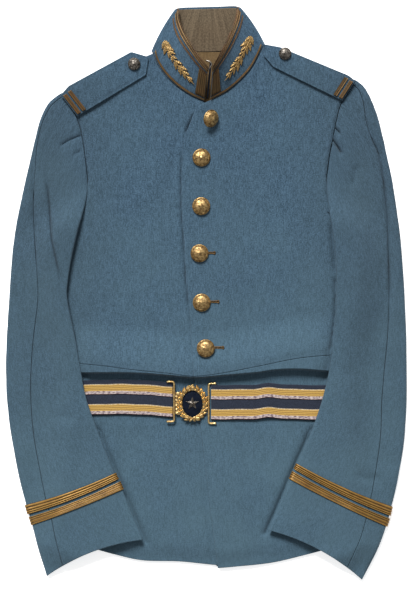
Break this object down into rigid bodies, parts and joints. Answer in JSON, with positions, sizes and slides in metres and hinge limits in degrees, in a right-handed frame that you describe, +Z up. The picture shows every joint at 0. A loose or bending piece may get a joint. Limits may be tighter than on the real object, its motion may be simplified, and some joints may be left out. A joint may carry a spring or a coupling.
{
  "type": "military dress tunic",
  "caption": "Blue-grey wool dress tunic with a braided stand collar, shoulder straps, gilt buttons, braided cuffs and a striped belt, laid flat on its back.",
  "frame": {"origin": "bottom centre of the bounding box, on the surface the tunic lies on", "axes": "+Y from the hem to the collar, +X to the wearer's left, +Z up out of the surface"},
  "size_m": [0.545, 0.78, 0.0392],
  "materials": {
    "wool": "matte wool twill",
    "lining": "satin weave cotton",
    "neck_lining": "satin weave cotton",
    "braid": "gold metal thread braid",
    "braid_dark": "dark gold cord",
    "bullion": "gold bullion embroidery",
    "belt": "matte webbing",
    "brocade": "ribbed silk brocade",
    "gilt": "polished gilt",
    "old_gilt": "worn gilt",
    "silver": "dull silver",
    "enamel": "dark enamel"
  },
  "bodies": {
    "root": {"back": "wool", "back_neck_lining": "neck_lining", "belt_backing": "belt", "belt_stripe_lower": "brocade", "belt_stripe_upper": "brocade", "buckle_bar_left": "gilt", "buckle_bar_right": "gilt", "buckle_flange": "gilt", "buckle_plate": "enamel", "buckle_star": "silver", "buckle_wreath": "gilt", "collar": "wool", "collar_edge_braid": "braid", "collar_end_braid_left": "braid", "collar_end_braid_right": "braid", "collar_hook": "silver", "collar_lining": "lining", "collar_neck_braid": "braid", "collar_soutache": "braid_dark", "cuff_braid_lower_left": "braid", "cuff_braid_lower_right": "braid", "cuff_braid_upper_left": "braid", "cuff_braid_upper_right": "braid", "front_button_1": "old_gilt", "front_button_2": "old_gilt", "front_button_3": "old_gilt", "front_button_4": "old_gilt", "front_button_5": "old_gilt", "front_button_6": "old_gilt", "front_left": "wool", "front_right": "wool", "leaf_spray_left": "bullion", "leaf_spray_right": "bullion", "shoulder_strap_left": "wool", "shoulder_strap_right": "wool", "skirt_left": "wool", "skirt_right": "wool", "sleeve_top_left": "wool", "sleeve_top_right": "wool", "sleeve_under_left": "wool", "sleeve_under_right": "wool", "strap_bar_left_1": "braid", "strap_bar_left_2": "braid", "strap_bar_right_1": "braid", "strap_bar_right_2": "braid", "strap_button_left": "silver", "strap_button_right": "silver"}
  },
  "joints": []
}
